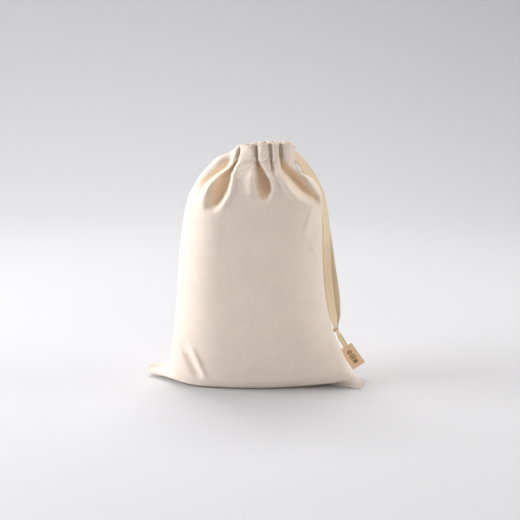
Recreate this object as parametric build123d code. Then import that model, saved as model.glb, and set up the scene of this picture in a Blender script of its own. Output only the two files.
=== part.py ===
from build123d import *
import os
from math import cos, pi, sin, tan

# A cotton drawstring gift sack, standing filled out with its mouth drawn closed.
#
# Two cloth panels are sewn together at the sides and the bottom. Round the top each panel is turned down into a
# casing. One flat tape runs through both casings, leaves them at a slit in the right side seam, and its two legs
# hang down that side to a knot. Two short tails go from the knot into a small folded label.
#
# The frame has +X to the right along the bottom seam, +Y to the back and +Z up. The origin is on the floor, under
# the middle of the sack. All lengths are in millimetres.

# The cloth, its seams and its thread.
CLOTH = 0.8
SEAM_ALLOWANCE = 8.0
SEAM_LINE = 2.0
THREAD = 0.5

# The filled sack from the floor to the shoulder line: height, left side, right side, half depth.
BODY_ROWS = [
    (0.0, -98.0, 97.0, 44.0),
    (12.0, -101.0, 99.0, 47.5),
    (45.0, -97.0, 93.0, 50.0),
    (75.0, -93.0, 86.5, 52.0),
    (110.0, -89.5, 80.5, 53.0),
    (160.0, -86.5, 77.0, 51.5),
    (212.0, -78.0, 74.0, 44.0),
]
SHOULDER_Z = BODY_ROWS[-1][0]
BODY_SQUARENESS = 2.7

# The gathered neck above the shoulder line, in the same terms. The casing is its last stretch.
NECK_ROWS = [
    (212.5, -77.9, 73.9, 43.9),
    (230.0, -71.0, 66.0, 38.5),
    (246.0, -60.5, 57.5, 31.0),
    (260.0, -47.5, 50.5, 24.0),
    (282.0, -18.0, 47.5, 17.0),
]
CASING_Z = NECK_ROWS[-2][0]
TOP_Z = NECK_ROWS[-1][0]
NECK_SQUARENESS = 2.2
OVAL_POINTS = 16

# Front and back halves of the neck part at the sides, and their casings stop at the slit on the right.
LIP_GAP = 0.3
SLIT_HALF = 5.0
SLIT_X = 20.0

# The casing's channel, and the tape that runs in it.
CASING_THICK = 4.0
CASING_HEM = 2.4
TAPE_WIDTH = 10.0
TAPE_THICK = 1.2
TAPE_MARGIN = 1.4

# The ends of the bottom seam stand out as two soft corners: root and tip as x, y from, y to, height.
LEFT_CORNER = [(-91.0, -20.0, 20.0, 22.0), (-125.6, 3.0, 14.0, 5.0)]
RIGHT_CORNER = [(85.0, -34.0, 6.0, 26.0), (125.6, -43.0, -32.0, 6.0)]

# The hanging legs of the tape: the upright plane that each hangs in, as y, and its route from the slit to the knot
# in that plane, as x and z.
FRONT_LEG_Y = -3.4
FRONT_LEG_ROUTE = [
    (51.5, 269.5),
    (58.0, 261.5),
    (67.5, 248.0),
    (76.0, 231.0),
    (81.7, 207.5),
    (84.2, 178.0),
    (86.2, 147.0),
    (90.2, 116.0),
    (94.8, 88.0),
    (96.6, 65.6),
]
BACK_LEG_Y = 3.4
BACK_LEG_ROUTE = [
    (51.5, 270.5),
    (60.0, 263.0),
    (70.5, 249.5),
    (78.5, 232.0),
    (83.0, 208.0),
    (87.2, 178.0),
    (91.0, 147.0),
    (95.6, 116.0),
    (98.0, 88.0),
    (97.0, 65.6),
]
KNOT_CENTRE = (96.6, 60.3)
KNOT_RADIUS = 4.4
KNOT_HALF_DEPTH = 5.6
KNOT_TALL = 1.05

# The tails and the label, in line with each other on the slope of the lower right corner.
TAIL_START = (100.2, 55.4)
LABEL_TOP = (108.5, 38.8)
LABEL_END = (124.6, 15.4)
LABEL_Y = 1.5
LABEL_WIDTH = 17.0
LABEL_THICK = 0.45
TAIL_WIDTH = 4.6
TAIL_THICK = 1.1
TAIL_TUCK = 6.0
LABEL_STITCHES = 5
LABEL_HEM = 2.5
PRINT_THICK = 0.1
PRINT_BARS = [9.5, 14.5, 19.5]
PRINT_SIZE = (2.2, 5.0)

# Larger than the sack in every direction, for cutting blocks that go all the way.
FAR = 400.0


def between(rows, z):
    """Left side, right side and half depth at a height, straight between the rows on each side of it."""
    for low, high in zip(rows, rows[1:]):
        if z <= high[0] or high is rows[-1]:
            share = (z - low[0]) / (high[0] - low[0])
            return tuple(p + share * (q - p) for p, q in zip(low[1:], high[1:]))


def oval(z, left, right, half_depth, squareness):
    """A face at height z with the outline of a rounded oval."""
    points = []
    for i in range(OVAL_POINTS):
        c, s = cos(2 * pi * i / OVAL_POINTS), sin(2 * pi * i / OVAL_POINTS)
        x = abs(c) ** (2 / squareness) * (1 if c >= 0 else -1)
        y = abs(s) ** (2 / squareness) * (1 if s >= 0 else -1)
        points.append(((left + right) / 2 + x * (right - left) / 2, y * half_depth, z))
    return make_face(Wire(Spline(points, periodic=True)))


def body_solid(inset):
    """The filled shape from the floor to the shoulder line, made smaller by inset all round and below."""
    faces = []
    for z, left, right, depth in BODY_ROWS:
        top_margin = CLOTH if inset and z == SHOULDER_Z else 0.0
        height = max(z, inset) + top_margin
        faces.append(oval(height, left + inset, right - inset, depth - inset, BODY_SQUARENESS))
    return loft(faces, ruled=True)


def neck_solid(inset, low, high):
    """The gathered neck between two heights, made smaller by inset all round."""
    heights = [low] + [row[0] for row in NECK_ROWS if low < row[0] < high] + [high]
    faces = []
    for z in heights:
        left, right, depth = between(NECK_ROWS, z)
        faces.append(oval(z, left + inset, right - inset, depth - inset, NECK_SQUARENESS))
    return loft(faces, ruled=True)


def neck_ring(outer, inner, low, high):
    """A ring in the neck's wall, from one inset to another and from one height to another."""
    return neck_solid(outer, low, high) - neck_solid(inner, low, high)


def corner_solid(root, tip):
    """One soft bottom corner, from the side of the sack out to the end of the bottom seam."""
    ends = []
    for x, y_from, y_to, height in (root, tip):
        outline = Polyline((x, y_from, 0), (x, y_to, 0), (x, (y_from + y_to) / 2, height), close=True)
        ends.append(make_face(outline))
    return loft(ends, ruled=True)


def slab(x=(-FAR, FAR), y=(-FAR, FAR), z=(-FAR, FAR)):
    """A block between three pairs of limits, for cutting."""
    size = [high - low for low, high in (x, y, z)]
    middle = [(high + low) / 2 for low, high in (x, y, z)]
    return Pos(*middle) * Box(*size)


def write(name, shape):
    """Writes one node, and says how many solids it has and how large it is."""
    solids = list(shape.solids())
    whole = Compound(children=solids) if len(solids) > 1 else solids[0]
    export_step(whole, f"parts/{name}.step")
    print(name, len(solids), round(whole.volume, 1))


def make_panels():
    """Both panels with their half of the base and of the corners, and the seam allowances inside."""
    inner = body_solid(CLOTH)
    outer = body_solid(0.0) + corner_solid(*LEFT_CORNER) + corner_solid(*RIGHT_CORNER)
    shell = outer - inner
    write("front_panel", shell & slab(y=(-FAR, 0)))
    write("back_panel", shell & slab(y=(0, FAR)))
    base_top = CLOTH + SEAM_ALLOWANCE
    rim = (inner - body_solid(base_top)) & slab(y=(-CLOTH, CLOTH), z=(0, SHOULDER_Z))
    write("bottom_seam_allowance", rim & slab(z=(0, base_top)))
    write("left_seam_allowance", rim & slab(x=(-FAR, 0), z=(base_top, FAR)))
    write("right_seam_allowance", rim & slab(x=(0, FAR), z=(base_top, FAR)))
    seam = body_solid(CLOTH + SEAM_LINE) - body_solid(CLOTH + SEAM_LINE + THREAD)
    seam &= slab(y=(-CLOTH - THREAD, -CLOTH), z=(0, SHOULDER_Z - SEAM_LINE))
    write("bottom_seam_thread", seam & slab(z=(0, base_top)))
    write("left_seam_thread", seam & slab(x=(-FAR, 0), z=(base_top, FAR)))
    write("right_seam_thread", seam & slab(x=(0, FAR), z=(base_top, FAR)))


def make_neck():
    """Both halves of the neck: gathers, casing with its channel, the tape in it and the casing's thread."""
    gathers = neck_ring(0.0, CLOTH, NECK_ROWS[0][0], CASING_Z)
    low, high = CASING_Z + CASING_HEM, TOP_Z - CLOTH
    casing = neck_ring(0.0, CASING_THICK, CASING_Z, TOP_Z) - neck_ring(CLOTH, CASING_THICK - CLOTH, low, high)
    middle = (low + high) / 2
    tape = neck_ring(TAPE_MARGIN, TAPE_MARGIN + TAPE_THICK, middle - TAPE_WIDTH / 2, middle + TAPE_WIDTH / 2)
    seam_z = CASING_Z + CASING_HEM / 2
    thread = neck_ring(-THREAD, 0.0, seam_z - THREAD / 2, seam_z + THREAD / 2)
    slit = slab(x=(SLIT_X, FAR), y=(-SLIT_HALF, SLIT_HALF))
    for side, half in (("front", slab(y=(-FAR, -LIP_GAP))), ("back", slab(y=(LIP_GAP, FAR)))):
        write(f"{side}_gathers", gathers & half)
        write(f"{side}_casing", (casing & half) - slit)
        write(f"drawstring_{side}_run", (tape & half) - slit)
        write(f"{side}_casing_thread", (thread & half) - slit)


def make_legs():
    """The two hanging legs: a flat tape along straight runs joined by arcs as large as the runs allow."""
    for side, y, route in (("front", FRONT_LEG_Y, FRONT_LEG_ROUTE), ("back", BACK_LEG_Y, BACK_LEG_ROUTE)):
        points = [Vector(x, y, z) for x, z in route]
        radii = []
        for a, b, c in zip(points, points[1:], points[2:]):
            turn = (b - a).get_angle(c - b) * pi / 180
            shorter = min((b - a).length, (c - b).length)
            radii.append(0.45 * shorter / tan(turn / 2))
        path = FilletPolyline(points, radius=radii)
        section = Plane(origin=path @ 0, x_dir=(0, 1, 0), z_dir=path % 0) * Rectangle(TAPE_THICK, TAPE_WIDTH)
        leg = sweep(section, path=path)
        print(side, "leg", round(path.length, 1), "radii", [round(r) for r in radii],
              "volume share", round(leg.volume / (path.length * TAPE_THICK * TAPE_WIDTH), 3))
        write(f"drawstring_{side}_leg", leg)


def make_knot():
    """The knot that joins the legs, as a plump ball."""
    ball = scale(Sphere(KNOT_RADIUS), (1.0, KNOT_HALF_DEPTH / KNOT_RADIUS, KNOT_TALL))
    write("drawstring_knot", Pos(KNOT_CENTRE[0], 0, KNOT_CENTRE[1]) * ball)


def make_tag():
    """The tails below the knot, the folded label over their ends, its stitching and its plain printed bars."""
    along = Vector(LABEL_END[0] - LABEL_TOP[0], 0, LABEL_END[1] - LABEL_TOP[1])
    plane = Plane(origin=(LABEL_TOP[0], LABEL_Y, LABEL_TOP[1]), x_dir=along.normalized(), z_dir=(0, -1, 0))
    inside = TAIL_THICK / 2
    outside = inside + LABEL_THICK
    leaf = Box(along.length, LABEL_WIDTH, LABEL_THICK, align=(Align.MIN, Align.CENTER, Align.MIN))
    fold = Box(LABEL_THICK, LABEL_WIDTH, 2 * outside, align=(Align.MIN, Align.CENTER, Align.CENTER))
    label = Pos(0, 0, inside) * leaf + Pos(0, 0, -outside) * leaf + Pos(along.length, 0, 0) * fold
    write("label", plane * label)
    start = plane.to_local_coords(Vector(TAIL_START[0], LABEL_Y, TAIL_START[1]))
    tail = Box(TAIL_TUCK - start.X, TAIL_WIDTH, TAIL_THICK, align=(Align.MIN, Align.CENTER, Align.CENTER))
    apart = (TAIL_WIDTH + LIP_GAP) / 2
    write("drawstring_tails", ShapeList([plane * Pos(start.X, y, 0) * tail for y in (-apart, apart)]))
    step = (LABEL_WIDTH - 2 * LABEL_HEM) / (LABEL_STITCHES - 1)
    places = [i * step - LABEL_WIDTH / 2 + LABEL_HEM for i in range(LABEL_STITCHES)]
    stitch = Box(THREAD, step * 0.7, THREAD / 2)
    faces = (outside + THREAD / 4, -outside - THREAD / 4)
    write("label_stitches", ShapeList([plane * Pos(LABEL_HEM, y, z) * stitch for y in places for z in faces]))
    bar = Box(*PRINT_SIZE, PRINT_THICK, align=(Align.CENTER, Align.CENTER, Align.MIN))
    write("label_print", ShapeList([plane * Pos(x, 0, outside) * bar for x in PRINT_BARS]))


os.makedirs("parts", exist_ok=True)
make_panels()
make_neck()
make_legs()
make_knot()
make_tag()
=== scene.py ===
"""A cotton drawstring gift sack that stands filled out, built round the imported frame.

The two cloth panels start from a row-by-row shape with its folds, and are then relaxed as cloth: threads
keep their length, bends are smoothed, and the floor holds them up. Tables of the cloth's shape and of the
label's marks are in millimetres, everything else is in metres.
"""

import bmesh
import bpy
import numpy as np
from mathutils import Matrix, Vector


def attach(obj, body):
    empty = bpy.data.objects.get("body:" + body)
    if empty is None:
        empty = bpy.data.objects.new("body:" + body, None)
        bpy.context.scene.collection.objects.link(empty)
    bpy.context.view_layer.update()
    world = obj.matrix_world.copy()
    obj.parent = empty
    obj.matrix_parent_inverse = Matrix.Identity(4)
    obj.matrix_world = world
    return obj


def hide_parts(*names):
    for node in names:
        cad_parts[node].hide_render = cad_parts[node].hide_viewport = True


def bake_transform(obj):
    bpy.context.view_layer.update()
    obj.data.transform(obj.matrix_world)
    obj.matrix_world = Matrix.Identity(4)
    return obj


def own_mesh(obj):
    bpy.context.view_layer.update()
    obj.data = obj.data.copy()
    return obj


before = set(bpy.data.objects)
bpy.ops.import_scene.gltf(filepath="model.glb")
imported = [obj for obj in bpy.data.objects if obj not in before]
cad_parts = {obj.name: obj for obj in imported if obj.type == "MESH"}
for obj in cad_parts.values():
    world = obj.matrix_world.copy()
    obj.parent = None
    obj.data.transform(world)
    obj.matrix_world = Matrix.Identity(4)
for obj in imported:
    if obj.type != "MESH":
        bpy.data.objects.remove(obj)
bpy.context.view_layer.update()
MM = 0.001

# The cut of one panel, and how finely it is divided.
PANEL_WIDTH = 0.250
PANEL_HEIGHT = 0.350
COLUMNS = 96
ROWS = 140
CASING_HEIGHT = 0.020
CLOTH_THICK = 0.0005
HEM_GAP = 0.0020

# How the cloth is relaxed: rounds, the pull to the filled shape in the body and at the shoulder with the
# heights between which it changes, the small unevenness that it starts with, and how low it may lie.
RELAX_ROUNDS = 240
PULL_BODY = 0.02
PULL_SHOULDER = 0.004
PULL_HEIGHTS = (0.185, 0.225)
RIPPLE_HEIGHT = 0.0006
RIPPLE_WAVES = 40
RIPPLE_LENGTHS = (0.014, 0.05)
BOTTOM_SEAM_LOOSE = 0.2
LOWEST = 0.0006

# Springs between points of the cloth: columns apart, rows apart, how much of a stretch and of a squeeze is
# undone in one go, and how much of the cut's own thread length goes into the rest length at the shoulder.
TRUE_CUT = 0.15
TRUE_CUT_HEIGHTS = (0.15, 0.21)
SPRINGS = [
    (1, 0, 0.9, 0.6, TRUE_CUT),
    (0, 1, 0.9, 0.6, TRUE_CUT),
    (1, 1, 0.25, 0.15, TRUE_CUT),
    (1, -1, 0.25, 0.15, TRUE_CUT),
    (2, 0, 0.1, 0.35, 0.0),
    (0, 2, 0.1, 0.35, 0.0),
    (4, 0, 0.05, 0.2, 0.0),
    (0, 4, 0.05, 0.2, 0.0),
]

# Rows of the cloth from the bottom seam up: way up the panel, height at the front, height at the left and
# right seams, half depth, squareness of the outline.
CLOTH_ROWS = np.array([
    (0, 0.7, 1.0, 1.0, 0.5, 1.25),
    (6, 0.7, 6.5, 5.0, 7, 1.3),
    (12, 0.7, 11.5, 8.5, 14, 1.4),
    (20, 0.7, 15.0, 11.0, 23, 1.6),
    (30, 0.7, 16.3, 13.0, 31, 1.9),
    (41, 1.1, 18.0, 16.5, 39, 2.3),
    (47, 4.0, 23, 22, 43.0, 2.5),
    (56, 11, 31, 30, 47, 2.7),
    (100, 54, 72, 71, 53, 2.7),
    (150, 104, 119, 118, 54, 2.7),
    (200, 153, 165, 164, 54, 2.7),
    (230, 182, 192, 191, 53, 2.65),
    (256, 206, 214, 213, 50, 2.6),
    (280, 226, 232, 231, 44, 2.5),
    (303, 243, 248, 247, 37, 2.4),
    (328, 261, 263, 262, 26, 2.3),
    (350, 281, 281, 281, 17, 2.2),
])

# Where the two sides stand at each height: height, x.
LEFT_SIDE = np.array([
    (1, -125), (6.5, -129), (11.5, -129), (15, -124), (16.3, -112), (18, -102.5), (24, -100.5),
    (34, -98.5), (68, -93.5), (113, -89.6), (157, -86.8), (200, -80.6), (222, -74.5), (243, -62.5),
    (260, -46.5), (272, -29), (281, -18),
])
RIGHT_SIDE = np.array([
    (1, 123), (5, 126.5), (8.5, 126.5), (11, 122), (13, 116), (16.5, 113), (24, 109), (34, 104.5),
    (45, 99), (52, 95.5), (60, 91.4), (66, 89.9), (75, 88.1), (88, 85.5), (101, 83.3), (116, 81.5),
    (134, 79.8), (147, 79.2), (178, 78.2), (200, 77.7), (211, 78.0), (222, 76.8), (231, 73.0),
    (238, 68.0), (243, 62.0), (247, 54.5), (251, 49.0), (257, 47), (272, 46.5), (281, 46.5),
])

# The bottom corners lie to the back on the left and to the front on the right: height, y.
LEFT_CORNER_Y = np.array([(1, 12), (15, 11), (18, 2), (26, 0)])
RIGHT_CORNER_Y = np.array([
    (1, -42), (9, -42), (13, -32), (20, -24), (34, -17), (48, -12), (62, -5), (80, 0),
])
LEFT_CORNER_REACH = 9
RIGHT_CORNER_REACH = 3

# Near the floor the left corner is broad at its root, and its cloth drops quickly from the side seam.
LEFT_ROOT_DEEPER = 0.25
LEFT_ROOT_HEIGHTS = (15, 22)
SIDE_DROP = 1.2
LEFT_DROP_LESS = 0.7
LEFT_DROP_HEIGHTS = (16, 26)

# The front stands out most left of its middle, and turns away more roundly on that side: height, x,
# roundness.
FRONT_PEAK = np.array([
    (12, -2, 1), (60, -25, 0.9), (110, -38, 0.78), (200, -38, 0.78), (240, -10, 1), (262, 8, 1),
    (282, 15, 1),
])

# The casing's top dips towards its ends: between which heights, how far, and between which distances to that
# side of the middle.
DIP_HEIGHTS = (258, 282)
LEFT_DIP = 3.5
LEFT_DIP_X = (-22, 20)
RIGHT_DIP = 5.0
RIGHT_DIP_X = (40, 49)

# Small creases on the front: x and height of each end, how far it stands out, half width.
CREASES = [
    (-73, 54, -57, 17, 2.6, 2.6),
    (-80, 46, -65, 18, -4.4, 4.6),
    (26, 252, 47, 221, 1.6, 2.4),
    (47, 221, 71, 211, 1.6, 2.4),
    (40, 239, 59, 221, -2.2, 5.0),
    (-90, 52, -74, 52, -2.8, 4.0),
    (-88, 41, -74, 45, 1.6, 3.5),
    (66, 213, 57, 182, 1.2, 3.0),
    (62, 173, 75, 147, 1.1, 3.0),
    (70, 190, 60, 160, -0.9, 4.0),
    (100, 12, 84, 52, -1.5, 7.0),
]

# Folds that run down from the casing. Each row is height, x, depth, width to the left, width to the right.
FRONT_FOLDS = [
    [(219, -62, 0, 8, 4), (228, -59, 7, 11, 5), (237, -53, 13, 14, 5), (246, -43, 15, 18, 5),
     (254, -32, 14, 19, 5), (262, -27, 11, 14, 4), (272, -26, 6, 7, 4), (282, -26, 2, 4, 4)],
    [(207, -46, 0, 10, 7), (211, -45, 5, 11, 7), (215, -42, 13, 13, 7), (221, -37, 21, 17, 6),
     (229, -33, 25, 21, 6), (238, -30, 25, 19, 5), (247, -28, 21, 11, 4), (254, -24, 17, 5, 3),
     (262, -19, 14, 3.5, 2.5), (282, -15.5, 12, 2.5, 2)],
    [(219, 11, 0, 8, 5), (223, 12, 8, 11, 6), (229, 14.5, 18, 14, 6), (235, 14.5, 24, 15, 6),
     (243, 12, 24, 13, 6), (250, 8.5, 21, 9, 5), (257, 5, 17, 5.5, 3.8), (264, 2.8, 14, 2.8, 2.5),
     (282, 1.8, 13, 2.2, 2.2)],
    [(247, 22, 0, 3, 3), (253, 20.5, 8, 3, 3), (262, 19, 12, 2.8, 2.8), (282, 18, 11, 2.3, 2.3)],
    [(210, 72, 0, 10, 4), (215, 71, 6, 12, 5), (222, 68, 13, 19, 6), (231, 57, 19, 16.5, 9),
     (241, 46, 22, 12.5, 13), (248, 37, 21, 8, 14), (256, 31, 17, 3.4, 10), (264, 29.5, 13, 2.5, 5),
     (282, 29.5, 12, 2.2, 2.5)],
]
BACK_FOLDS = [
    [(208, -52, 0, 12, 12), (225, -43, 7, 12, 10), (242, -30, 11, 9, 7), (262, -16, 12, 4, 4),
     (282, -9, 11, 2.5, 2.5)],
    [(222, -20, 0, 9, 9), (240, -14, 8, 8, 7), (262, -6, 12, 4, 4), (282, -1, 11, 2.5, 2.5)],
    [(202, -2, 0, 12, 12), (218, -1, 6, 12, 11), (238, 2, 12, 9, 9), (262, 6, 13, 4, 4),
     (282, 8, 13, 2.5, 2.5)],
    [(228, 16, 0, 8, 8), (244, 16, 7, 6, 6), (262, 17, 12, 3.5, 3.5), (282, 17, 12, 2.5, 2.5)],
    [(206, 42, 0, 14, 12), (224, 36, 7, 13, 10), (242, 30, 12, 8, 8), (262, 27, 12, 3.5, 3.5),
     (282, 26, 11, 2.5, 2.5)],
    [(224, 58, 0, 8, 8), (240, 48, 6, 7, 7), (262, 38, 9, 3.5, 3.5), (282, 35, 9, 2.5, 2.5)],
]
OUTLINE_POINTS = 900
FOLD_WALL_LEFT = 0.94
FOLD_SKIN = 2.0

# A fold has a low rim: its height as a share of the fold's depth, its place and its width as shares of the
# fold's half width. Rims end below the casing.
RIM_HEIGHT = 0.13
RIM_PLACE = 1.2
RIM_WIDTH = 0.35
RIM_HEIGHTS = (245, 262)

# The casing: how it plumps over the tape, the groove of its stitch line, the puckers along both its edges,
# and the slit at its right end.
CASING_PLUMP = 0.0009
GROOVE_DEPTH = 0.0006
GROOVE_WIDTH = 0.0012
PUCKER_HEIGHT = 0.0008
PUCKER_WAVES = (0.0037, 0.0052, 0.0071)
PUCKER_REACH_BELOW = 0.009
PUCKER_REACH_TOP = 0.004
SLIT_OPENING = 0.0035
SLIT_WIDTH = 0.007

# The label's three marks, each a list of strokes from one end to the other, in millimetres along and across
# the label from the mark's centre: a diamond with a bar, a square with two bars, a cross with four ticks.
# The strokes' half width is in millimetres too. They stand proud of the label and are sunk into it.
MARKS = [
    [((-2.4, 0), (0, 3.0)), ((0, 3.0), (2.4, 0)), ((2.4, 0), (0, -3.0)), ((0, -3.0), (-2.4, 0)),
     ((-0.8, 0), (0.8, 0))],
    [((-2.2, -2.8), (-2.2, 2.8)), ((-2.2, 2.8), (2.2, 2.8)), ((2.2, 2.8), (2.2, -2.8)),
     ((2.2, -2.8), (-2.2, -2.8)), ((-0.8, -1.0), (-0.8, 1.0)), ((0.8, -1.0), (0.8, 1.0))],
    [((-2.3, -2.5), (2.3, 2.5)), ((-2.3, 2.5), (2.3, -2.5)), ((-2.6, 0), (-1.2, 0)),
     ((1.2, 0), (2.6, 0)), ((0, -2.9), (0, -1.4)), ((0, 1.4), (0, 2.9))],
]
MARK_CENTRES = (0.0080, 0.0145, 0.0210)
STROKE_HALF_WIDTH = 0.52
STROKE_PROUD = 0.00006
STROKE_SUNK = 0.0001

# Routes of the two hanging legs: x and z in an upright plane at y. They start a little further into the
# casing than the frame's own tubes, so that the cloth hides the tape's cut ends, and end inside the knot.
FRONT_LEG_Y = -0.0034
FRONT_LEG_ROUTE = [
    (0.0435, 0.2694), (0.0510, 0.2610), (0.0608, 0.2460), (0.0732, 0.2275), (0.0800, 0.2050),
    (0.0826, 0.1780), (0.0842, 0.1470), (0.0864, 0.1160), (0.0904, 0.0880), (0.0960, 0.0630),
]
BACK_LEG_Y = 0.0034
BACK_LEG_ROUTE = [
    (0.0445, 0.2698), (0.0530, 0.2622), (0.0640, 0.2480), (0.0752, 0.2300), (0.0815, 0.2070),
    (0.0850, 0.1780), (0.0883, 0.1470), (0.0940, 0.1160), (0.0975, 0.0880), (0.0968, 0.0630),
]

# How each leg is turned about its own line, in radians: at its top, then between two shares of its length.
LEG_TURN = 0.9
LEGS = {
    "front": (FRONT_LEG_ROUTE, FRONT_LEG_Y, [(-0.55, 0.42, 0.62), (0.3, 0.8, 1.0)]),
    "back": (BACK_LEG_ROUTE, BACK_LEG_Y, [(-1.3, 0.42, 0.7)]),
}
TAPE_WIDTH = 0.010
TAPE_THICK = 0.0011
TAPE_IN_CASING = 0.6
SEAM_ALLOWANCE = 0.008
SEAM_LINE = 0.0035
SIDES = {"front": -1, "back": 1}

# A flat band's section, from one edge to the other: across, and down on its lower side.
BAND_ACROSS = [-1, -0.97, -0.6, -0.2, 0.2, 0.6, 0.97, 1.0]
BAND_DOWN = [-0.35, -0.5, -0.5, -0.5, -0.5, -0.5, -0.5, -0.35]

# A stitch from end to end: place along its half length, and thickness.
STITCH_RINGS = [(-1.0, 0.25), (-0.82, 0.8), (-0.4, 1.0), (0.4, 1.0), (0.82, 0.8), (1.0, 0.25)]
STITCH_SIDES = 6
STITCH_SINK = 0.3

# Stitches: from one to the next, length and radius.
CASING_STITCH = (0.0033, 0.0025, 0.00022)
SEAM_STITCH = (0.0030, 0.0024, 0.0002)
LABEL_STITCH = (0.0024, 0.0018, 0.0002)

# The knot, the tails below it and the label lie where the frame has theirs. The tails are carried on into the
# knot and down into the label.
KNOT_CENTRE = (0.0966, 0.0, 0.0603)
KNOT_RADIUS = 0.0044
TAIL_START = (0.1002, 0.0554)
LABEL_TOP = (0.1085, 0.0388)
LABEL_END = (0.1246, 0.0154)
LABEL_Y = 0.0015
LABEL_WIDTH = 0.017
LABEL_THICK = 0.00045
LABEL_HALF_OPEN = 0.0011
LABEL_STITCH_LINE = 0.0022
KNOT_BAND_WIDTH = 0.0036
KNOT_BAND_THICK = 0.0013
TAIL_WIDTH = 0.0046
TAIL_IN_KNOT = (0.0022, 0.0028)
TAIL_TUCK = 0.005

# The knot's trefoil line: how deep it weaves, and its three half sizes for a knot of radius 1.
KNOT_DEPTH = 1.125
KNOT_SHAPE = np.array([0.62, 0.95, 0.62])

# The two tails: how far each lies to the front, its twist, and how far it bows to the side.
TAILS = [(0.0009, 0.35, 0.0010), (-0.0006, -0.5, -0.0008)]


# ---------------------------------------------------------------- cloth shape

def smoothstep(x, low=0.0, high=1.0):
    t = np.clip((x - low) / (high - low), 0.0, 1.0)
    return t * t * (3 - 2 * t)


def table(values, rows, column):
    """A column of a table, read at the given values of its first column."""
    rows = np.asarray(rows, float)
    return np.interp(values, rows[:, 0], rows[:, column])


def fold_depth(folds, x, z):
    """How far a list of folds pushes the cloth in at x and height z, in millimetres, less their low rims."""
    inward = np.zeros_like(x)
    rim = np.zeros_like(x)
    for rows in folds:
        centre, depth = table(z, rows, 1), table(z, rows, 2)
        left, right = table(z, rows, 3), table(z, rows, 4)
        offset = np.where(x < centre, (centre - x) / left, (x - centre) / right)
        inside = np.clip(1 - offset, 0, 1)
        inward = np.maximum(inward, depth * (0.5 * smoothstep(inside) + 0.5 * inside))
        rim = np.maximum(rim, RIM_HEIGHT * depth * np.exp(-((offset - RIM_PLACE) / RIM_WIDTH) ** 2))
    return inward - rim * smoothstep(-inward, -3, 0) * smoothstep(-z, -RIM_HEIGHTS[1], -RIM_HEIGHTS[0])


def crease_height(x, z):
    """How far the small creases stand out at x and height z, in millimetres."""
    total = np.zeros_like(x)
    for x0, z0, x1, z1, height, width in CREASES:
        run = np.array([x1 - x0, z1 - z0], float)
        t = ((x - x0) * run[0] + (z - z0) * run[1]) / (run @ run)
        near = np.clip(t, 0, 1)
        gap = np.hypot(x - x0 - near * run[0], z - z0 - near * run[1])
        total += height * np.exp(-(gap / width) ** 2) * (0.55 + 0.45 * np.sin(np.pi * near))
    return total


def outline(way_up, folds, sign):
    """One row of one panel from the right side seam to the left one, as points spaced evenly on the cloth."""
    z_face, z_left, z_right = (table(way_up, CLOTH_ROWS, k) for k in (1, 2, 3))
    depth, square = table(way_up, CLOTH_ROWS, 4), table(way_up, CLOTH_ROWS, 5)
    left, right = table(z_left, LEFT_SIDE, 1), table(z_right, RIGHT_SIDE, 1)
    angle = np.linspace(0, np.pi, OUTLINE_POINTS)
    c, s = np.cos(angle), np.sin(angle)
    peak, rounder = (left + right) / 2, 1.0
    if sign < 0:
        peak, rounder = table(z_face, FRONT_PEAK, 1), table(z_face, FRONT_PEAK, 2)
    square = np.where(c > 0, square, square * rounder)
    x = peak + np.where(c > 0, right - peak, left - peak) * np.abs(c) ** (2 / square)
    deeper = 1 + LEFT_ROOT_DEEPER * smoothstep(-c, 0.25, 0.9) * (1 - smoothstep(z_left, *LEFT_ROOT_HEIGHTS))
    y = np.abs(s) ** (2 / square) * depth * deeper
    z_side = np.where(c > 0, z_right, z_left)
    left_drop = SIDE_DROP - LEFT_DROP_LESS * (1 - smoothstep(z_left, *LEFT_DROP_HEIGHTS))
    z = z_side + (z_face - z_side) * s ** np.where(c > 0, SIDE_DROP, left_drop)
    dip = LEFT_DIP * smoothstep(-x, *LEFT_DIP_X) + RIGHT_DIP * smoothstep(x, *RIGHT_DIP_X)
    z = z - smoothstep(z, *DIP_HEIGHTS) * dip
    y = y - np.minimum(fold_depth(folds, x, z), np.maximum(y - FOLD_SKIN, 0) * FOLD_WALL_LEFT)
    if sign < 0:
        y = y + crease_height(x, z) * smoothstep(y, 4, 20)
    y = sign * y
    y = y + table(z_right, RIGHT_CORNER_Y, 1) * np.clip(c, 0, 1) ** RIGHT_CORNER_REACH
    y = y + table(z_left, LEFT_CORNER_Y, 1) * np.clip(-c, 0, 1) ** LEFT_CORNER_REACH
    return resampled(np.stack([x, y, z], 1) * MM, COLUMNS + 1)[0]


def starting_cloth():
    """Both panels as one tube of points: from the right seam by the front, the left seam and the back."""
    ways = np.linspace(0, PANEL_HEIGHT / MM, ROWS + 1)
    front = np.stack([outline(w, FRONT_FOLDS, -1) for w in ways], 1)
    back = np.stack([outline(w, BACK_FOLDS, 1) for w in ways], 1)
    return np.concatenate([front[:-1], back[:0:-1]], 0)


def ripples(cloth):
    """Small smooth unevenness for the relaxing to grow folds from, along x, y and z."""
    maker = np.random.default_rng(7)
    total = np.zeros(cloth.shape[:2])
    for _ in range(RIPPLE_WAVES):
        wave = maker.normal(size=3)
        wave *= 2 * np.pi / (maker.uniform(*RIPPLE_LENGTHS) * np.linalg.norm(wave))
        total += np.sin(cloth @ wave + maker.uniform(0, 6.28))
    return total / RIPPLE_WAVES ** 0.5


def hold(points, loose, a, b, rest, stretch, squeeze):
    """Moves the points at a and b so that they stand rest apart: fully when stretched, less when squeezed."""
    gap = points[b] - points[a]
    length = np.sqrt((gap * gap).sum(-1)) + 1e-9
    over = length - rest
    share = np.where(over > 0, stretch, squeeze) * over / length / (loose[a] + loose[b] + 1e-9)
    points[a] += gap * (share * loose[a])[..., None]
    points[b] -= gap * (share * loose[b])[..., None]


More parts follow.
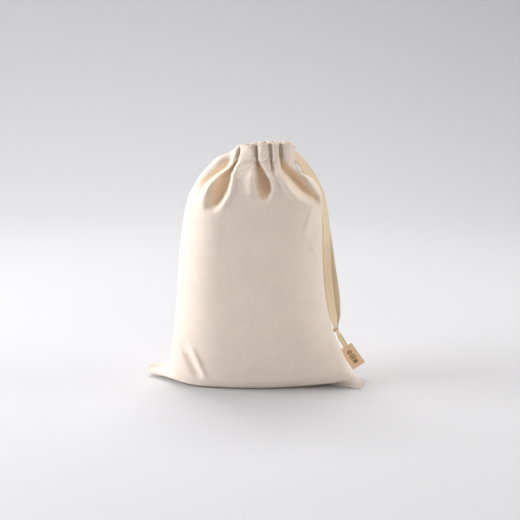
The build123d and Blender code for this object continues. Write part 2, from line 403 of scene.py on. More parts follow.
def thread_pairs(across, up):
    """Index pairs of points that many columns and rows apart, in groups that share no point."""
    around = 2 * COLUMNS
    step = max(across, 1)
    groups = []
    if across:
        for part in range(2):
            a = np.array([i for i in range(around) if (i // step) % 2 == part])
            low = slice(0, ROWS + 1 - abs(up)) if up >= 0 else slice(-up, ROWS + 1)
            high = slice(up, ROWS + 1) if up >= 0 else slice(0, ROWS + 1 + up)
            groups.append(((a, low), ((a + across) % around, high)))
    else:
        for part in range(2):
            j = np.array([j for j in range(ROWS + 1 - up) if (j // up) % 2 == part])
            groups.append(((slice(None), j), (slice(None), j + up)))
    return groups


def relax(cloth, rounds):
    """Lets the cloth settle: thread lengths, shear, bends, the floor, and a soft pull to the filled shape."""
    start = cloth.copy()
    height = start[:, :, 2]
    loose = np.ones(cloth.shape[:2])
    casing_row = round(ROWS * (1 - CASING_HEIGHT / PANEL_HEIGHT))
    loose[:, casing_row:] = 0.0
    loose[:, 0] = BOTTOM_SEAM_LOOSE
    pull = PULL_BODY + (PULL_SHOULDER - PULL_BODY) * smoothstep(height, *PULL_HEIGHTS)
    cut = (PANEL_WIDTH / COLUMNS, PANEL_HEIGHT / ROWS)
    springs = []
    for across, up, stretch, squeeze, cloth_share in SPRINGS:
        flat = np.hypot(across * cut[0], up * cut[1])
        for a, b in thread_pairs(across, up):
            rest = np.linalg.norm(start[b] - start[a], axis=-1)
            share = cloth_share * smoothstep((height[a] + height[b]) / 2, *TRUE_CUT_HEIGHTS)
            rest = rest + (np.maximum(flat, rest) - rest) * share
            springs.append((a, b, rest, stretch, squeeze))
    normal = normals_of(cloth)
    cloth = cloth + normal * (ripples(cloth) * RIPPLE_HEIGHT * loose)[..., None]
    mirror = (-np.arange(2 * COLUMNS)) % (2 * COLUMNS)
    for _ in range(rounds):
        for a, b, rest, stretch, squeeze in springs:
            hold(cloth, loose, a, b, rest, stretch, squeeze)
        cloth += (start - cloth) * (pull * loose)[..., None]
        cloth[:, 0] = (cloth[:, 0] + cloth[mirror, 0]) / 2
        cloth[..., 2] = np.maximum(cloth[..., 2], LOWEST)
    return cloth


def normals_of(cloth):
    """Outward normals of the tube of points."""
    round_it = np.roll(cloth, -1, 0) - np.roll(cloth, 1, 0)
    up = np.gradient(cloth, axis=1)
    normal = np.cross(up, round_it)
    return normal / (np.linalg.norm(normal, axis=-1, keepdims=True) + 1e-12)


# ---------------------------------------------------------------- mesh helpers

def new_object(name, vertices, faces):
    mesh = bpy.data.meshes.new(name)
    mesh.from_pydata([tuple(v) for v in vertices], [], faces)
    mesh.update()
    thing = bpy.data.objects.new(name, mesh)
    bpy.context.scene.collection.objects.link(thing)
    return thing


def apply_modifiers(thing):
    bpy.context.view_layer.update()
    done = bpy.data.meshes.new_from_object(thing.evaluated_get(bpy.context.evaluated_depsgraph_get()))
    old = thing.data
    thing.modifiers.clear()
    thing.data = done
    bpy.data.meshes.remove(old)


def shade_smooth(thing):
    thing.data.polygons.foreach_set("use_smooth", [True] * len(thing.data.polygons))


def positions(mesh):
    flat = np.empty(len(mesh.vertices) * 3)
    mesh.vertices.foreach_get("co", flat)
    return flat.reshape(-1, 3)


def cloth_places(mesh):
    """Each vertex's place in the flat cut, from the mesh's UV map."""
    uv = np.empty(len(mesh.loops) * 2)
    mesh.uv_layers[0].data.foreach_get("uv", uv)
    corner = np.empty(len(mesh.loops), int)
    mesh.loops.foreach_get("vertex_index", corner)
    place = np.zeros((len(mesh.vertices), 2))
    place[corner] = uv.reshape(-1, 2)
    return place


def keep_cut(thing, place):
    """Stores each vertex's place in the flat cut, in metres, as the UV map that the weave follows."""
    layer = thing.data.uv_layers.new(name="cut")
    corner = np.empty(len(thing.data.loops), int)
    thing.data.loops.foreach_get("vertex_index", corner)
    layer.data.foreach_set("uv", np.asarray(place, float).reshape(-1, 2)[corner].ravel())


def grid_object(name, points, place):
    """A mesh through a grid of points, faces outward for a front panel, with its flat place as a UV map."""
    columns, rows = points.shape[:2]
    index = np.arange(columns * rows).reshape(columns, rows)
    quads = np.stack([index[:-1, :-1], index[:-1, 1:], index[1:, 1:], index[1:, :-1]], -1).reshape(-1, 4)
    thing = new_object(name, points.reshape(-1, 3), quads.tolist())
    keep_cut(thing, place)
    return thing


def grid_normals(points):
    """Outward normals of one panel's grid of points."""
    across = np.gradient(points, axis=0)
    up = np.gradient(points, axis=1)
    normal = np.cross(up, across)
    return normal / (np.linalg.norm(normal, axis=-1, keepdims=True) + 1e-12)


def with_hem(points, outward):
    """The panel's grid with its top turned in and down to the casing's stitch line."""
    step = PANEL_HEIGHT / ROWS
    count = round(CASING_HEIGHT / step)
    normal = grid_normals(points) * outward
    normal[0] = normal[1]
    normal[-1] = normal[-2]
    hem = []
    for k in range(1, count + 1):
        inset = HEM_GAP * (1 - np.exp(-1.2 * k))
        hem.append(points[:, -1 - k] - normal[:, -1 - k] * inset)
    ridge = points[:, -1] + [0, 0, 0.0007] - normal[:, -1] * HEM_GAP * 0.45
    return np.concatenate([points, ridge[:, None], np.stack(hem, 1)], 1)


def panel(name, points, side):
    """One cloth panel from its grid of points: smoothed, with its plump casing, its slit and thickness."""
    points = with_hem(points, -side)
    columns, rows = points.shape[:2]
    step = PANEL_HEIGHT / ROWS
    u, v = np.meshgrid(np.linspace(0, PANEL_WIDTH, columns), np.arange(rows) * step, indexing="ij")
    thing = grid_object(name, points, np.stack([u, v], -1))
    if side < 0:
        flip(thing)
    smooth = thing.modifiers.new("smooth", "SUBSURF")
    smooth.levels = 1
    smooth.uv_smooth = "NONE"
    smooth.boundary_smooth = "PRESERVE_CORNERS"
    apply_modifiers(thing)
    shape_casing(thing, side)
    thick = thing.modifiers.new("thick", "SOLIDIFY")
    thick.thickness = CLOTH_THICK
    thick.offset = -1
    apply_modifiers(thing)
    shade_smooth(thing)
    return thing


def shape_casing(thing, side):
    """Plumps the casing over the tape, puckers its stitch line, and opens the slit at its right end."""
    mesh = thing.data
    mesh.update()
    points = positions(mesh)
    normal = np.empty(len(points) * 3)
    mesh.vertex_normals.foreach_get("vector", normal)
    normal = normal.reshape(-1, 3)
    place = cloth_places(mesh)
    up = place[:, 1] - (PANEL_HEIGHT - CASING_HEIGHT)
    plump = np.sin(np.pi * np.clip(up / CASING_HEIGHT, 0, 1)) ** 0.7
    groove = np.exp(-(up / GROOVE_WIDTH) ** 2)
    pucker = sum(np.sin(2 * np.pi * place[:, 0] / wave + 5 * wave / MM) for wave in PUCKER_WAVES) / 3
    below = np.exp(-(up / PUCKER_REACH_BELOW) ** 2)
    above = 0.8 * np.exp(-((up - CASING_HEIGHT) / PUCKER_REACH_TOP) ** 2)
    lift = CASING_PLUMP * plump - GROOVE_DEPTH * groove + PUCKER_HEIGHT * pucker * (below + above)
    points += normal * lift[:, None]
    slit = smoothstep(up, -0.002, 0.006) * np.exp(-(place[:, 0] / SLIT_WIDTH) ** 2)
    points[:, 1] += side * SLIT_OPENING * slit
    mesh.vertices.foreach_set("co", points.ravel())
    mesh.update()


def line_along(name, route, y):
    """The route's own smooth line, read from a NURBS curve with no bevel."""
    curve = bpy.data.curves.new(name, "CURVE")
    curve.dimensions = "3D"
    spline = curve.splines.new("NURBS")
    spline.points.add(len(route) - 1)
    for point, (x, z) in zip(spline.points, route):
        point.co = (x, y, z, 1.0)
    spline.order_u = 3
    spline.use_endpoint_u = True
    spline.resolution_u = 12
    holder = bpy.data.objects.new(name, curve)
    mesh = bpy.data.meshes.new_from_object(holder)
    points = positions(mesh)
    bpy.data.objects.remove(holder)
    bpy.data.curves.remove(curve)
    bpy.data.meshes.remove(mesh)
    return points


def way_along(points):
    """How far along a line each of its points lies."""
    step = np.linalg.norm(np.diff(points, axis=0), axis=1)
    return np.concatenate([[0], np.cumsum(step)])


def resampled(points, count):
    """The line through the points as that many points evenly apart, and its length."""
    along = way_along(points)
    wanted = np.linspace(0, along[-1], count)
    return np.stack([np.interp(wanted, along, points[:, k]) for k in range(3)], 1), along[-1]


def ribbon(name, line, across, width, thick, cup=0.0):
    """A flat band of cloth along a line.

    across gives its width direction at each point, cup bends it hollow.
    """
    tangent = np.gradient(line, axis=0)
    tangent /= np.linalg.norm(tangent, axis=1, keepdims=True)
    across = across - tangent * (across * tangent).sum(1, keepdims=True)
    across /= np.linalg.norm(across, axis=1, keepdims=True)
    face = np.cross(tangent, across)
    lower = list(zip(BAND_ACROSS, BAND_DOWN))
    ring = lower + [(s, -h) for s, h in reversed(lower)]
    width = np.broadcast_to(width, len(line))
    vertices, place = [], []
    for point, side, up, w, way in zip(line, across, face, width, way_along(line)):
        for s, h in ring:
            vertices.append(point + side * (s * w / 2) + up * (h * thick + cup * (s * s - 0.4) * w))
            place.append((s * w / 2, way))
    size = len(ring)
    faces = []
    for i in range(len(line) - 1):
        for k in range(size):
            after = (k + 1) % size
            faces.append((i * size + k, i * size + after, (i + 1) * size + after, (i + 1) * size + k))
    faces.append(tuple(range(size))[::-1])
    faces.append(tuple((len(line) - 1) * size + k for k in range(size)))
    thing = new_object(name, vertices, faces)
    keep_cut(thing, place)
    shade_smooth(thing)
    return thing


# ---------------------------------------------------------------- materials

THREAD_BUMP = 0.00012
SLUB_SHARE = 0.9
# How much painted shade darkens the grooves between the threads.
GAP_PAINTED_SHADE = 0.12


def material(name, colour, rough=0.9):
    made = bpy.data.materials.new(name)
    made.use_nodes = True
    tree = made.node_tree
    shader = tree.nodes["Principled BSDF"]
    shader.inputs["Base Color"].default_value = (*colour, 1)
    shader.inputs["Roughness"].default_value = rough
    return made, tree, shader


def link(tree, source, output, target, socket):
    tree.links.new(source.outputs[output], target.inputs[socket])


def calculate(tree, operation, first, second=None, third=None):
    """A Math node's output. Its inputs are sockets or numbers."""
    node = tree.nodes.new("ShaderNodeMath")
    node.operation = operation
    for socket, value in zip(node.inputs, (first, second, third)):
        if hasattr(value, "is_output"):
            tree.links.new(value, socket)
        elif value is not None:
            socket.default_value = value
    return node.outputs[0]


def streaks(tree, place, stretch, detail=3):
    """Noise drawn out along the threads, as a value."""
    mapping = tree.nodes.new("ShaderNodeMapping")
    mapping.inputs["Scale"].default_value = stretch
    tree.links.new(place, mapping.inputs["Vector"])
    noise = tree.nodes.new("ShaderNodeTexNoise")
    noise.inputs["Scale"].default_value = 1.0
    noise.inputs["Detail"].default_value = detail
    link(tree, mapping, "Vector", noise, "Vector")
    return noise.outputs["Fac"]


def plain_weave(tree, across, along, pitch):
    """Height of a plain weave: threads both ways that pass over and under each other in turn."""
    turn_u = calculate(tree, "SINE", calculate(tree, "MULTIPLY", across, np.pi / pitch))
    turn_v = calculate(tree, "SINE", calculate(tree, "MULTIPLY", along, np.pi / pitch))
    over = calculate(tree, "MULTIPLY", turn_u, turn_v)
    grooves = calculate(tree, "ABSOLUTE", over)
    return calculate(tree, "MULTIPLY_ADD", over, 0.35, grooves)


def twill(tree, across, along, pitch):
    """Height of a herringbone tape: slanted threads that change direction along its middle."""
    side = calculate(tree, "ABSOLUTE", across)
    slant = calculate(tree, "ADD", side, along)
    wave = calculate(tree, "SINE", calculate(tree, "MULTIPLY", slant, 2 * np.pi / pitch))
    edge = calculate(tree, "SINE", calculate(tree, "MULTIPLY", along, 2 * np.pi / (pitch * 0.6)))
    return calculate(tree, "MULTIPLY_ADD", edge, 0.25, wave)


def painted_bounce_in_folds(tree, tone, folds):
    """The tone mixed towards the folds' colour, a painted warm bounce light, by the "fold" attribute."""
    painted_bounce_mix = tree.nodes.new("ShaderNodeMix")
    painted_bounce_mix.data_type = "RGBA"
    painted_bounce_mix.inputs["B"].default_value = (*folds, 1)
    inside = tree.nodes.new("ShaderNodeAttribute")
    inside.attribute_name = "fold"
    tree.links.new(inside.outputs["Fac"], painted_bounce_mix.inputs["Factor"])
    tree.links.new(tone, painted_bounce_mix.inputs["A"])
    return painted_bounce_mix.outputs["Result"]


def woven(name, colour, pitch, weave=plain_weave, sheen=0.2, contrast=0.09, folds=None):
    """Woven cotton on the "cut" UV map in metres, with slubs and slow unevenness in its colour.

    Its threads are bump, and the grooves between them get painted shade. Where folds is given, the "fold"
    attribute turns the colour towards it, as painted warm bounce light inside the folds.
    """
    made, tree, shader = material(name, colour)
    shader.inputs["Sheen Weight"].default_value = sheen
    shader.inputs["Sheen Roughness"].default_value = 0.5
    shader.inputs["Specular IOR Level"].default_value = 0.2
    source = tree.nodes.new("ShaderNodeUVMap")
    source.uv_map = "cut"
    place = source.outputs["UV"]
    parts = tree.nodes.new("ShaderNodeSeparateXYZ")
    tree.links.new(place, parts.inputs[0])
    threads = weave(tree, parts.outputs[0], parts.outputs[1], pitch)
    across = streaks(tree, place, (60, 900, 1))
    along = streaks(tree, place, (900, 60, 1))
    cloud = streaks(tree, place, (35, 35, 1), 5)
    slubs = calculate(tree, "ADD", across, along)
    shade = calculate(tree, "MULTIPLY_ADD", slubs, SLUB_SHARE, cloud)
    ramp = tree.nodes.new("ShaderNodeValToRGB")
    ramp.color_ramp.elements[0].position = 0.25
    ramp.color_ramp.elements[0].color = (*[c * (1 - contrast) for c in colour], 1)
    ramp.color_ramp.elements[1].position = 0.75
    ramp.color_ramp.elements[1].color = (*[min(c * (1 + contrast), 1) for c in colour], 1)
    tree.links.new(calculate(tree, "MULTIPLY", shade, 1 / (1 + 2 * SLUB_SHARE)), ramp.inputs["Fac"])
    # Painted shade: the colour is darkened in the grooves between the threads, where the weave's height is
    # low.
    painted_gap_shade = tree.nodes.new("ShaderNodeMix")
    painted_gap_shade.data_type = "RGBA"
    painted_gap_shade.blend_type = "MULTIPLY"
    gap = calculate(tree, "MULTIPLY_ADD", threads, 0.5, 0.5)
    painted_gap_shade.inputs["B"].default_value = (*[0.9 * c for c in colour], 1)
    share = calculate(tree, "MULTIPLY", calculate(tree, "SUBTRACT", 1.0, gap), GAP_PAINTED_SHADE)
    tree.links.new(share, painted_gap_shade.inputs["Factor"])
    link(tree, ramp, "Color", painted_gap_shade, "A")
    tone = painted_gap_shade.outputs["Result"]
    # Painted warm bounce light inside the folds.
    if folds:
        tone = painted_bounce_in_folds(tree, tone, folds)
    tree.links.new(tone, shader.inputs["Base Color"])
    bump = tree.nodes.new("ShaderNodeBump")
    bump.inputs["Distance"].default_value = THREAD_BUMP
    bump.inputs["Strength"].default_value = 0.7
    tree.links.new(calculate(tree, "MULTIPLY_ADD", slubs, 0.8, threads), bump.inputs["Height"])
    link(tree, bump, "Normal", shader, "Normal")
    return made


def paint(thing, finish):
    thing.data.materials.clear()
    thing.data.materials.append(finish)


# ---------------------------------------------------------------- pieces

def make_cloth(cotton):
    """Both panels, from the relaxed tube of points. Gives back each one's grid too."""
    cloth = starting_cloth()
    cloth = relax(cloth, RELAX_ROUNDS)
    grids = {"front": cloth[:COLUMNS + 1], "back": np.concatenate([cloth[COLUMNS:], cloth[:1]], 0)[::-1]}
    pieces = {}
    for side, sign in SIDES.items():
        piece = panel(f"{side}_cloth", grids[side], sign)
        mark_painted_bounce(piece, FRONT_FOLDS if side == "front" else BACK_FOLDS)
        paint(piece, cotton)
        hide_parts(f"{side}_panel", f"{side}_gathers", f"{side}_casing")
        pieces[side] = piece
    return pieces, grids


def tip_with_mouth(piece):
    """Bakes the piece's placement into its mesh."""
    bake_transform(piece)


def mark_painted_bounce(piece, folds):
    """Keeps how far inside a fold each point lies, for the painted warm bounce light in the cloth's colour
    there.
    """
    points = positions(piece.data) / MM
    depth = fold_depth(folds, points[:, 0], points[:, 2]) * smoothstep(-points[:, 2], -266, -258)
    layer = piece.data.attributes.new("fold", "FLOAT", "POINT")
    layer.data.foreach_set("value", smoothstep(depth, 1.0, 11.0).astype(np.float32))


def row_at(grid, way_up):
    """The grid's points at a way up the panel, between two of its rows if need be."""
    place = way_up / PANEL_HEIGHT * ROWS
    low = int(np.clip(np.floor(place), 0, ROWS - 1))
    return grid[:, low] + (grid[:, low + 1] - grid[:, low]) * (place - low)


def make_tape_runs(grids, tape):
    """The tape inside each half of the casing, gathered with it."""
    for side, sign in SIDES.items():
        ways = PANEL_HEIGHT - CASING_HEIGHT / 2 + np.linspace(-0.5, 0.5, 5) * TAPE_WIDTH
        normal = grid_normals(grids[side]) * -sign
        inset = HEM_GAP * 0.52 + TAPE_THICK / 2
        points = np.stack([row_at(grids[side], w) - row_at(normal, w) * inset for w in ways], 1)[2:-2]
        u, v = np.meshgrid(np.linspace(0, PANEL_WIDTH, len(points)), ways - ways[2], indexing="ij")
        run = grid_object(f"tape_in_{side}_casing", points, np.stack([v, u], -1))
        smooth = run.modifiers.new("smooth", "SUBSURF")
        smooth.levels = 1
        smooth.uv_smooth = "NONE"
        thick = run.modifiers.new("thick", "SOLIDIFY")
        thick.thickness = TAPE_THICK * TAPE_IN_CASING
        thick.offset = 0
        apply_modifiers(run)
        shade_smooth(run)
        paint(run, tape)
        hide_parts(f"drawstring_{side}_run")
        tip_with_mouth(run)


def stitches(name, line, outward, pitch, length, radius):
    """Capsule-shaped stitches along a line, each lying along it and sunk a little into the cloth."""
    along = way_along(line)
    sides = STITCH_SIDES
    vertices, faces, cut = [], [], []
    for centre in np.arange(pitch * 0.6, along[-1] - pitch * 0.5, pitch):
        at, ahead, out = (np.array([np.interp(centre + shift, along, source[:, k]) for k in range(3)])
                          for shift, source in ((0, line), (length / 2, line), (0, outward)))
        tangent = ahead - at
        tangent /= np.linalg.norm(tangent) + 1e-12
        out = out - tangent * (out @ tangent)
        out /= np.linalg.norm(out) + 1e-12
        across = np.cross(tangent, out)
        base = len(vertices)
        for place, size in STITCH_RINGS:
            dip = -0.9 * radius * abs(place) ** 3
            middle = at + tangent * (place * length / 2) + out * (radius * (1 - 2 * STITCH_SINK) + dip)
            for k in range(sides):
                turn = 2 * np.pi * k / sides
                vertices.append(middle + (out * np.sin(turn) + across * np.cos(turn)) * radius * size)
                cut.append((turn * radius, centre + place * length / 2))
        for ring in range(len(STITCH_RINGS) - 1):
            for k in range(sides):
                one, two = base + ring * sides + k, base + ring * sides + (k + 1) % sides
                faces.append((one, two, two + sides, one + sides))
        faces.append(tuple(base + k for k in range(sides))[::-1])
        faces.append(tuple(base + (len(STITCH_RINGS) - 1) * sides + k for k in range(sides)))
    thing = new_object(name, vertices, faces)
    keep_cut(thing, cut)
    shade_smooth(thing)
    return thing


def make_casing_stitches(grids, thread):
    """The row of stitches that closes each half of the casing."""
    for side, sign in SIDES.items():
        normal = grid_normals(grids[side]) * -sign
        way = PANEL_HEIGHT - CASING_HEIGHT
        line = row_at(grids[side], way)[2:-2]
        out = row_at(normal, way)[2:-2]
        row = stitches(f"{side}_casing_stitches", line - out * 0.0003, out, *CASING_STITCH)
        paint(row, thread)
        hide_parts(f"{side}_casing_thread")
        tip_with_mouth(row)


def make_seams(grids, cotton, thread):
    """The turned-in allowances of the side and bottom seams, with their stitching, inside the sack."""
    front, back = grids["front"], grids["back"]
    middle = (front + back) / 2
    stop = round((PANEL_HEIGHT - CASING_HEIGHT) / PANEL_HEIGHT * ROWS)
    right, left, bottom = (middle[0, :stop], middle[-1, :stop], middle[:, 0])
    inner = {"right": middle[4, :stop], "left": middle[-5, :stop], "bottom": middle[:, 4]}
    for name, edge in (("right", right), ("left", left), ("bottom", bottom)):
        way = inner[name] - edge
        way /= np.linalg.norm(way, axis=1, keepdims=True) + 1e-9
        tangent = np.gradient(edge, axis=0)
        tangent /= np.linalg.norm(tangent, axis=1, keepdims=True) + 1e-9
        out = np.cross(tangent, way)
        widths = np.linspace(0, SEAM_ALLOWANCE, 5)
        points = np.stack([edge + way * (0.0006 + w) for w in widths], 1)
        u, v = np.meshgrid(np.arange(len(edge)) * PANEL_HEIGHT / ROWS, widths, indexing="ij")
        allowance = grid_object(f"{name}_seam_cloth", points, np.stack([u, v], -1))
        thick = allowance.modifiers.new("thick", "SOLIDIFY")
        thick.thickness = 2 * CLOTH_THICK
        thick.offset = 0
        apply_modifiers(allowance)
        shade_smooth(allowance)
        paint(allowance, cotton)
        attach(allowance, "sack")
        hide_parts(f"{name}_seam_allowance")
        line = edge + way * SEAM_LINE + out * CLOTH_THICK
        row = stitches(f"{name}_seam_stitches", line, out, *SEAM_STITCH)
        paint(row, thread)
        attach(row, "sack")
        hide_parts(f"{name}_seam_thread")


def flip(thing):
    bm = bmesh.new()
    bm.from_mesh(thing.data)
    bmesh.ops.reverse_faces(bm, faces=bm.faces)
    bm.to_mesh(thing.data)
    bm.free()


def make_legs(tape):
    """The two flat tapes from the slit to the knot, edge on at the top and turned to the front lower down."""
    legs = []
    for side, (route, y, turns) in LEGS.items():
        line, length = resampled(line_along(f"{side}_leg_line", route, y), 90)
        t = np.linspace(0, 1, len(line))
        turn = np.full(len(t), LEG_TURN)
        for change, low, high in turns:
            turn += change * smoothstep(t, low, high)
        tangent = np.gradient(line, axis=0)
        tangent /= np.linalg.norm(tangent, axis=1, keepdims=True)
        flat = np.cross(tangent, [0, 1, 0])
        across = flat * np.cos(turn)[:, None] + np.array([0, 1, 0]) * np.sin(turn)[:, None]
        width = TAPE_WIDTH * (1 - 0.45 * smoothstep(t, 0.93, 1.0) - 0.2 * smoothstep(-t, -0.05, 0))
        leg = ribbon(f"drawstring_{side}_tape", line, across, width, TAPE_THICK, 0.02)
        paint(leg, tape)
        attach(leg, "drawstring_legs")
        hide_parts(f"drawstring_{side}_leg")
        legs.append((leg, line, length))
    return legs


def make_knot(tape):
    """An overhand knot tied in both tapes at once: one flat band along a trefoil line."""
    t = np.linspace(0, 2 * np.pi, 97)[:-1]
    line = np.stack([
        np.sin(t) + 2 * np.sin(2 * t),
        -KNOT_DEPTH * np.sin(3 * t),
        np.cos(t) - 2 * np.cos(2 * t),
    ], 1)
    line = line / 3.0 * KNOT_RADIUS * KNOT_SHAPE
    line = np.concatenate([line, line[:1]]) + KNOT_CENTRE
    outward = line - KNOT_CENTRE
    tangent = np.gradient(line, axis=0)
    across = np.cross(tangent, outward)
    knot = ribbon("tape_knot", line, across, KNOT_BAND_WIDTH, KNOT_BAND_THICK, -0.12)
    rounder = knot.modifiers.new("round", "SUBSURF")
    rounder.levels = 1
    apply_modifiers(knot)
    shade_smooth(knot)
    paint(knot, tape)
    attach(knot, "knot")
    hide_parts("drawstring_knot")
    return knot


def label_frame():
    """The label's origin at the middle of its top, and its directions along, across and out of its face."""
    top = np.array([LABEL_TOP[0], LABEL_Y, LABEL_TOP[1]])
    end = np.array([LABEL_END[0], LABEL_Y, LABEL_END[1]])
    length = np.linalg.norm(end - top)
    along = (end - top) / length
    out = np.array([0.0, -1.0, 0.0])
    return top, along, np.cross(along, out), out, length


def make_tails(tape):
    """The two ends of the tape from the knot into the label, folded narrow and lying one behind the other."""
    top, along, across, out, _ = label_frame()
    start = np.array([TAIL_START[0] - TAIL_IN_KNOT[0], LABEL_Y * 0.5, TAIL_START[1] + TAIL_IN_KNOT[1]])
    end = top + along * TAIL_TUCK
    both = []
    for shift, twist, sway in TAILS:
        t = np.linspace(0, 1, 30)
        line = start + (end - start) * t[:, None] + across * (sway * np.sin(np.pi * t))[:, None]
        line = line + out * (shift * (1 - smoothstep(t, 0.7, 1.0) * 0.6))[:, None]
        turn = twist * np.sin(np.pi * t) + 0.9 * (1 - smoothstep(t, 0, 0.35))
        side = across * np.cos(turn)[:, None] + out * np.sin(turn)[:, None]
        width = TAIL_WIDTH - 0.0012 * (1 - smoothstep(t, 0, 0.3))
        both.append(ribbon("tail", line, side, width, TAPE_THICK, 0.06))
    tails = joined("tape_tails", both)
    paint(tails, tape)
    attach(tails, "tag")
    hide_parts("drawstring_tails")
    return tails


def joined(name, things):
    """Several mesh objects as one."""
    bm = bmesh.new()
    for thing in things:
        bm.from_mesh(thing.data)
        bpy.data.objects.remove(thing)
    mesh = bpy.data.meshes.new(name)
    bm.to_mesh(mesh)
    bm.free()
    whole = bpy.data.objects.new(name, mesh)
    bpy.context.scene.collection.objects.link(whole)
    shade_smooth(whole)
    return whole


def label_bend(t):
    """How far the label's face curls out of its plane, from its top, 0, to its fold, 1."""
    return 0.0009 * np.sin(2.6 * t) - 0.0011 * t ** 2


def make_label(cloth, thread, ink):
    """A woven strip folded in half over the tails, with its stitch row and three printed marks."""
    top, along, across, out, length = label_frame()
    half = LABEL_HALF_OPEN
    t = np.linspace(0, 1, 25)
    fold = np.linspace(-np.pi / 2, np.pi / 2, 7)[1:-1]
    path = [(length * k, half * (1 - 0.55 * smoothstep(k, 0.15, 0.8)), label_bend(k)) for k in t]
    path += [(length + 0.0005 * np.cos(a), -0.45 * half * np.sin(a), label_bend(1)) for a in fold]
    path += [(length * k, -half * (1 - 0.55 * smoothstep(k, 0.15, 0.8)), label_bend(k)) for k in t[::-1]]
    spread = np.linspace(-0.5, 0.5, 13) * LABEL_WIDTH
    points = np.array([[top + along * s + across * w + out * (h + bend * (1 - (w / LABEL_WIDTH) ** 2))
                        for s, h, bend in path] for w in spread])
    u, v = np.meshgrid(spread, np.linspace(0, 2 * length, len(path)), indexing="ij")
    label = grid_object("folded_label", points, np.stack([u, v], -1))
    thick = label.modifiers.new("thick", "SOLIDIFY")
    thick.thickness = LABEL_THICK
    thick.offset = 0
    edge = label.modifiers.new("edge", "BEVEL")
    edge.width = 0.0001
    edge.segments = 2
    apply_modifiers(label)
    shade_smooth(label)
    paint(label, cloth)
    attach(label, "tag")
    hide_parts("label")

    rows = []
    for face in (1, -1):
        lift = face * (half + LABEL_THICK / 2) + label_bend(0.08)
        line = np.array([top + along * LABEL_STITCH_LINE + across * w + out * lift
                         for w in np.linspace(-0.46, 0.46, 24) * LABEL_WIDTH])
        rows.append(stitches("row", line, np.repeat([out * face], len(line), 0), *LABEL_STITCH))
    stitch = joined("label_stitch_rows", rows)
    paint(stitch, thread)
    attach(stitch, "tag")
    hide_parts("label_stitches")

    marks = []
    for strokes, centre in zip(MARKS, MARK_CENTRES):
        for stroke in strokes:
            marks.append(printed_stroke(stroke, centre))
    print_ = joined("label_marks", marks)
    paint(print_, ink)
    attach(print_, "tag")
    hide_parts("label_print")
    return label, stitch, print_


def printed_stroke(stroke, centre):
    """One thin printed stroke on the label's face, its two ends in millimetres from the mark's centre."""
    top, along, across, out, length = label_frame()
    half = LABEL_HALF_OPEN
    (a0, b0), (a1, b1) = stroke
    corners_at, place = [], []
    run = np.array([a1 - a0, b1 - b0], float)
    side = np.array([-run[1], run[0]]) / np.linalg.norm(run) * STROKE_HALF_WIDTH
    for a, b in ((a0, b0), (a1, b1)):
        for sign in (-1, 1):
            s = centre + (a + sign * side[0]) * MM
            w = (b + sign * side[1]) * MM
            t = s / length
            lift = half * (1 - 0.55 * smoothstep(t, 0.15, 0.8)) + label_bend(t) * (1 - (w / LABEL_WIDTH) ** 2)
            for height in (LABEL_THICK / 2 - STROKE_SUNK, LABEL_THICK / 2 + STROKE_PROUD):
                corners_at.append(top + along * s + across * w + out * (lift + height))
                place.append((w, s))
    faces = [(0, 2, 3, 1), (4, 5, 7, 6), (0, 1, 5, 4), (2, 6, 7, 3), (1, 3, 7, 5), (0, 4, 6, 2)]
    mark = new_object("stroke", corners_at, faces)
    keep_cut(mark, place)
    return mark


def make_camera():
    camera = bpy.data.cameras.new("camera")
    camera.lens = 67
    camera.sensor_width = 36
    camera.clip_start = 0.01
    view = bpy.data.objects.new("camera", camera)
    view.location = (0.0065, -1.11, 0.36)
    view.rotation_euler = (np.radians(90 - 11), 0, 0)
    bpy.context.scene.collection.objects.link(view)
    bpy.context.scene.camera = view


def area_light(name, place, aim, size, power, colour):
    light = bpy.data.lights.new(name, "AREA")
    light.shape = "RECTANGLE"
    light.size, light.size_y = size
    light.energy = power
    light.color = colour
    thing = bpy.data.objects.new(name, light)
    thing.location = place
    thing.rotation_euler = (Vector(aim) - Vector(place)).to_track_quat("-Z", "Y").to_euler()
    bpy.context.scene.collection.objects.link(thing)


# The studio bowl: a flat floor, a curve up, and a wall. Its lights: place, aim, size, power and colour.
FLOOR_RADIUS = 1.3
CURVE_RADIUS = 2.2
WALL_TOP = 4.0
PAPER = (0.64, 0.64, 0.65)
PAPER_DARK = (0.63, 0.63, 0.642)
PAPER_PALE = (0.65, 0.65, 0.662)
SACK_MIDDLE = (0, 0, 0.12)
LIGHTS = {
    "window": ((-1.62, -0.14, 0.64), SACK_MIDDLE, (1.0, 1.0), 29, (0.98, 1.0, 1.04)),
    "right": ((1.62, -0.05, 0.55), SACK_MIDDLE, (1.0, 1.0), 12.5, (1.0, 0.99, 0.97)),
    "front": ((0, -1.6, 0.7), SACK_MIDDLE, (1.0, 1.0), 4.4, (1.03, 1.0, 0.96)),
    "above": ((-0.1, 0.7, 2.0), SACK_MIDDLE, (1.4, 1.4), 29.5, (1.02, 1.0, 0.98)),
    "backdrop": ((-0.6, 1.5, 2.3), (-0.6, 2.6, 0.3), (2.5, 1.0), 27, (1.0, 0.985, 1.0)),
}


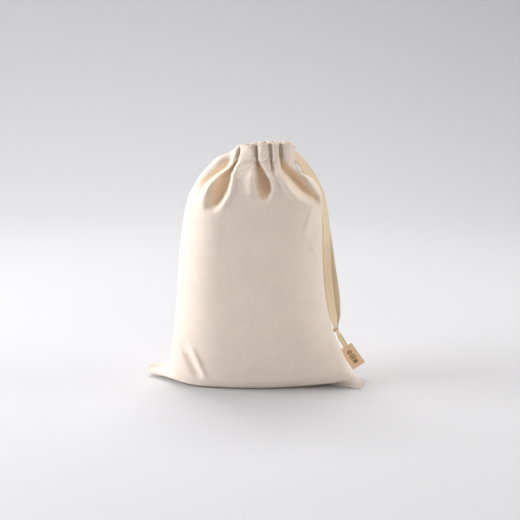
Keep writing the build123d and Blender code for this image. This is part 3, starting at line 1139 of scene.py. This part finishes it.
def make_studio():
    """A pale floor that curves up into a backdrop all round, and soft light from both sides and above."""
    made, tree, shader = material("studio_paper", PAPER, 0.8)
    noise = tree.nodes.new("ShaderNodeTexNoise")
    noise.inputs["Scale"].default_value = 2.0
    ramp = tree.nodes.new("ShaderNodeValToRGB")
    ramp.color_ramp.elements[0].color = (*PAPER_DARK, 1)
    ramp.color_ramp.elements[1].color = (*PAPER_PALE, 1)
    link(tree, noise, "Fac", ramp, "Fac")
    link(tree, ramp, "Color", shader, "Base Color")
    profile = [(0.0, 0.0), (0.4, 0.0), (0.8, 0.0), (FLOOR_RADIUS, 0.0)]
    profile += [(FLOOR_RADIUS + CURVE_RADIUS * np.sin(a), CURVE_RADIUS - CURVE_RADIUS * np.cos(a))
                for a in np.linspace(0.04, np.pi / 2, 28)]
    profile += [(FLOOR_RADIUS + CURVE_RADIUS, WALL_TOP)]
    turns = np.linspace(0, 2 * np.pi, 97)[:-1]
    vertices = [(r * np.sin(turn), r * np.cos(turn), z) for r, z in profile for turn in turns]
    count = len(turns)
    faces = []
    for i in range(len(profile) - 1):
        for k in range(count):
            after = (k + 1) % count
            faces.append((i * count + k, i * count + after, (i + 1) * count + after, (i + 1) * count + k))
    floor = new_object("studio_floor", vertices, faces)
    shade_smooth(floor)
    paint(floor, made)
    for name, (place, aim, size, power, colour) in LIGHTS.items():
        area_light(name, place, aim, size, power, colour)
    world = bpy.data.worlds.new("world")
    world.use_nodes = True
    background = world.node_tree.nodes["Background"]
    background.inputs["Color"].default_value = (0.9, 0.93, 1.0, 1)
    background.inputs["Strength"].default_value = 0.02
    bpy.context.scene.world = world
    bpy.context.scene.view_settings.view_transform = "Standard"


make_camera()
make_studio()
# The cotton's fold colour is painted warm bounce light, laid on deep inside the folds by the "fold"
# attribute.
cotton = woven("natural_cotton", (0.87, 0.75, 0.64), 0.0006, sheen=0.45, folds=(0.99, 0.79, 0.58))
tape_cotton = woven("tape_cotton", (0.93, 0.74, 0.51), 0.0009, twill, sheen=0.2, contrast=0.12)
thread_cotton = woven("sewing_thread", (0.86, 0.76, 0.65), 0.0003, twill)
label_cloth = woven("label_cloth", (0.93, 0.66, 0.41), 0.0005)
label_ink = woven("label_ink", (0.19, 0.09, 0.04), 0.0005)

legs = make_legs(tape_cotton)
knot = make_knot(tape_cotton)
tails = make_tails(tape_cotton)
label_pieces = make_label(label_cloth, thread_cotton, label_ink)
for number, (leg, line, length) in enumerate(legs):
    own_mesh(leg)
panels, grids = make_cloth(cotton)
make_tape_runs(grids, tape_cotton)
make_casing_stitches(grids, thread_cotton)
make_seams(grids, cotton, thread_cotton)
for side, piece in panels.items():
    tip_with_mouth(piece)
